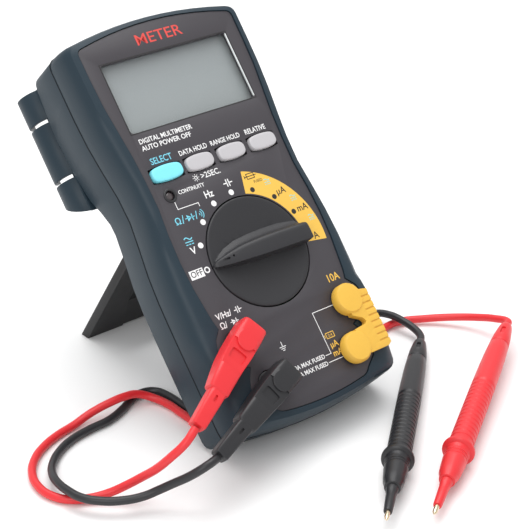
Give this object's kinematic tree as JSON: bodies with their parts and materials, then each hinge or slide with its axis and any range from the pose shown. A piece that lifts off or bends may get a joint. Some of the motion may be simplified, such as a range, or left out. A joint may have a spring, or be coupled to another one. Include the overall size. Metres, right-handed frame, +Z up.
{
  "type": "digital multimeter",
  "caption": "Hand-held digital multimeter on its tilt stand, with rotary dial, blank display, push buttons, jack cover and two plugged-in test leads.",
  "frame": {"origin": "middle of the meter's footprint box on the surface it stands on, test leads not counted", "axes": "+Z up, +X to the right of the face, the face looks towards -Y and up, leaning back 41 degrees from upright"},
  "size_m": [0.2117, 0.2046, 0.1386],
  "materials": {
    "case_teal": "satin moulded dark teal-blue ABS",
    "panel_charcoal": "fine-textured charcoal face panel with printed markings",
    "black_plastic": "satin black ABS",
    "clear_window": "clear acrylic display window",
    "display_glass": "blank grey-green liquid crystal cell",
    "white_plastic": "white acetal and diffuser plastic",
    "board_green": "glass-epoxy board with green solder mask",
    "button_grey": "light grey moulded key",
    "button_cyan": "cyan moulded key",
    "keypad_silicone": "grey silicone rubber",
    "lamp_lens": "dark red lamp lens, unlit",
    "brass": "bright turned brass",
    "plated_steel": "zinc or nickel plated steel",
    "cover_yellow": "soft yellow elastomer",
    "fuse_ceramic": "white ceramic fuse body",
    "cell_jacket": "printed film jacket of a dry cell",
    "lead_red": "semi-gloss red PVC",
    "lead_black": "semi-gloss black PVC",
    "needle_gold": "pale gold plated needle"
  },
  "bodies": {
    "meter": {"battery_1": "cell_jacket", "battery_2": "cell_jacket", "battery_contact_1": "plated_steel", "battery_contact_2": "plated_steel", "battery_door": "case_teal", "battery_door_screw": "plated_steel", "battery_link": "plated_steel", "battery_tray": "black_plastic", "black_cord": "lead_black", "black_plug": "lead_black", "black_plug_pin": "brass", "black_probe_handle": "lead_black", "black_probe_needle": "needle_gold", "black_probe_sleeve": "lead_black", "black_probe_tail": "lead_black", "buzzer": "black_plastic", "case_screw_1": "plated_steel", "case_screw_2": "plated_steel", "case_screw_3": "plated_steel", "case_screw_4": "plated_steel", "circuit_board": "board_green", "continuity_lamp": "lamp_lens", "face_panel": "panel_charcoal", "front_case": "case_teal", "fuse_10a": "fuse_ceramic", "fuse_holder_10a": "black_plastic", "fuse_holder_ma": "black_plastic", "fuse_ma": "fuse_ceramic", "jack_block": "black_plastic", "jack_socket_10a": "brass", "jack_socket_com": "brass", "jack_socket_ma": "brass", "jack_socket_v": "brass", "keypad_membrane": "keypad_silicone", "lcd_backlight": "white_plastic", "lcd_display": "display_glass", "lcd_window": "clear_window", "probe_clip_left": "case_teal", "probe_clip_right": "case_teal", "rear_case": "case_teal", "red_cord": "lead_red", "red_plug": "lead_red", "red_plug_pin": "brass", "red_probe_handle": "lead_red", "red_probe_needle": "needle_gold", "red_probe_sleeve": "lead_red", "red_probe_tail": "lead_red", "stand_pin": "plated_steel"},
    "knob": {"function_knob": "black_plastic", "knob_rotor": "white_plastic", "rotor_wiper": "brass"},
    "select_button": {"button_select": "button_cyan"},
    "data_hold_button": {"button_data_hold": "button_grey"},
    "range_hold_button": {"button_range_hold": "button_grey"},
    "relative_button": {"button_relative": "button_grey"},
    "stand": {"tilt_stand": "black_plastic"},
    "cover": {"jack_cover": "cover_yellow"}
  },
  "joints": [
    {"name": "knob_turn", "type": "hinge", "parent": "meter", "child": "knob", "pos_m": [0, -0.02891, 0.064], "axis": [0, -0.7496, 0.6618], "range_deg": [-180, 0]},
    {"name": "select_press", "type": "slide", "parent": "meter", "child": "select_button", "axis": [0, 0.7496, -0.6618], "range_m": [0, 0.0008], "stiffness_N_per_m": 600},
    {"name": "data_hold_press", "type": "slide", "parent": "meter", "child": "data_hold_button", "axis": [0, 0.7496, -0.6618], "range_m": [0, 0.0008], "stiffness_N_per_m": 600},
    {"name": "range_hold_press", "type": "slide", "parent": "meter", "child": "range_hold_button", "axis": [0, 0.7496, -0.6618], "range_m": [0, 0.0008], "stiffness_N_per_m": 600},
    {"name": "relative_press", "type": "slide", "parent": "meter", "child": "relative_button", "axis": [0, 0.7496, -0.6618], "range_m": [0, 0.0008], "stiffness_N_per_m": 600},
    {"name": "stand_fold", "type": "hinge", "parent": "meter", "child": "stand", "pos_m": [0, 0.01156, 0.06255], "axis": [1, 0, 0], "range_deg": [-75, 0]},
    {"name": "cover_pull", "type": "slide", "parent": "meter", "child": "cover", "axis": [0, -0.7496, 0.6618], "range_m": [0, 0.012]}
  ]
}
